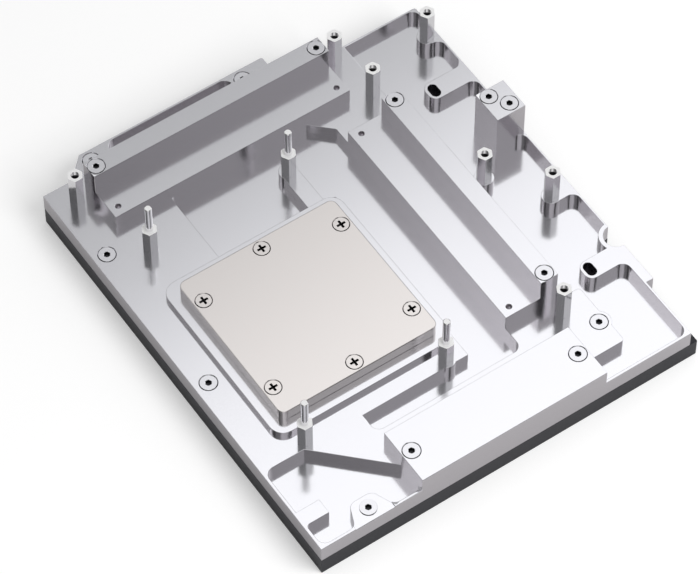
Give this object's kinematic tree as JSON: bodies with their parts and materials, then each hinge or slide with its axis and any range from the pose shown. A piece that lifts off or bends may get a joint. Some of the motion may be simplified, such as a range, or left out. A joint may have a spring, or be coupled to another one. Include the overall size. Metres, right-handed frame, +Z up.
{
  "type": "liquid cooling cold plate",
  "caption": "Flat liquid cooling cold plate: milled aluminium plate with stepped ridges and shallow pockets on a dark base, a raised contact block, and slim standoffs.",
  "frame": {"origin": "middle of the whole outline, on the plane that the base rests on", "axes": "+Y along the long side toward the lug, +X toward the stepped ridge, +Z up from the base"},
  "size_m": [0.146, 0.1708, 0.0357],
  "materials": {
    "base": "dark anodised, satin",
    "plate": "bright milled",
    "block": "nickel plated copper, satin",
    "steel": "rolled sheet",
    "seal": "moulded",
    "screw": "bright plated",
    "standoff": "nickel plated"
  },
  "bodies": {
    "root": {"base_plate": "base", "main_plate": "plate", "cpu_block": "block", "jet_plate": "steel", "block_seal": "seal", "channel_seal": "seal", "block_screws": "screw", "rim_screws": "screw", "land_screws": "screw", "ridge_screws": "screw", "stud_back_left": "standoff", "stud_back_right": "standoff", "stud_front_right": "standoff", "stud_front_left": "standoff", "standoff_back_left": "standoff", "standoff_back_right": "standoff", "standoff_bay": "standoff", "standoff_ridge_back": "standoff", "standoff_middle": "standoff", "standoff_finger": "standoff", "standoff_front_right": "standoff"}
  },
  "joints": []
}
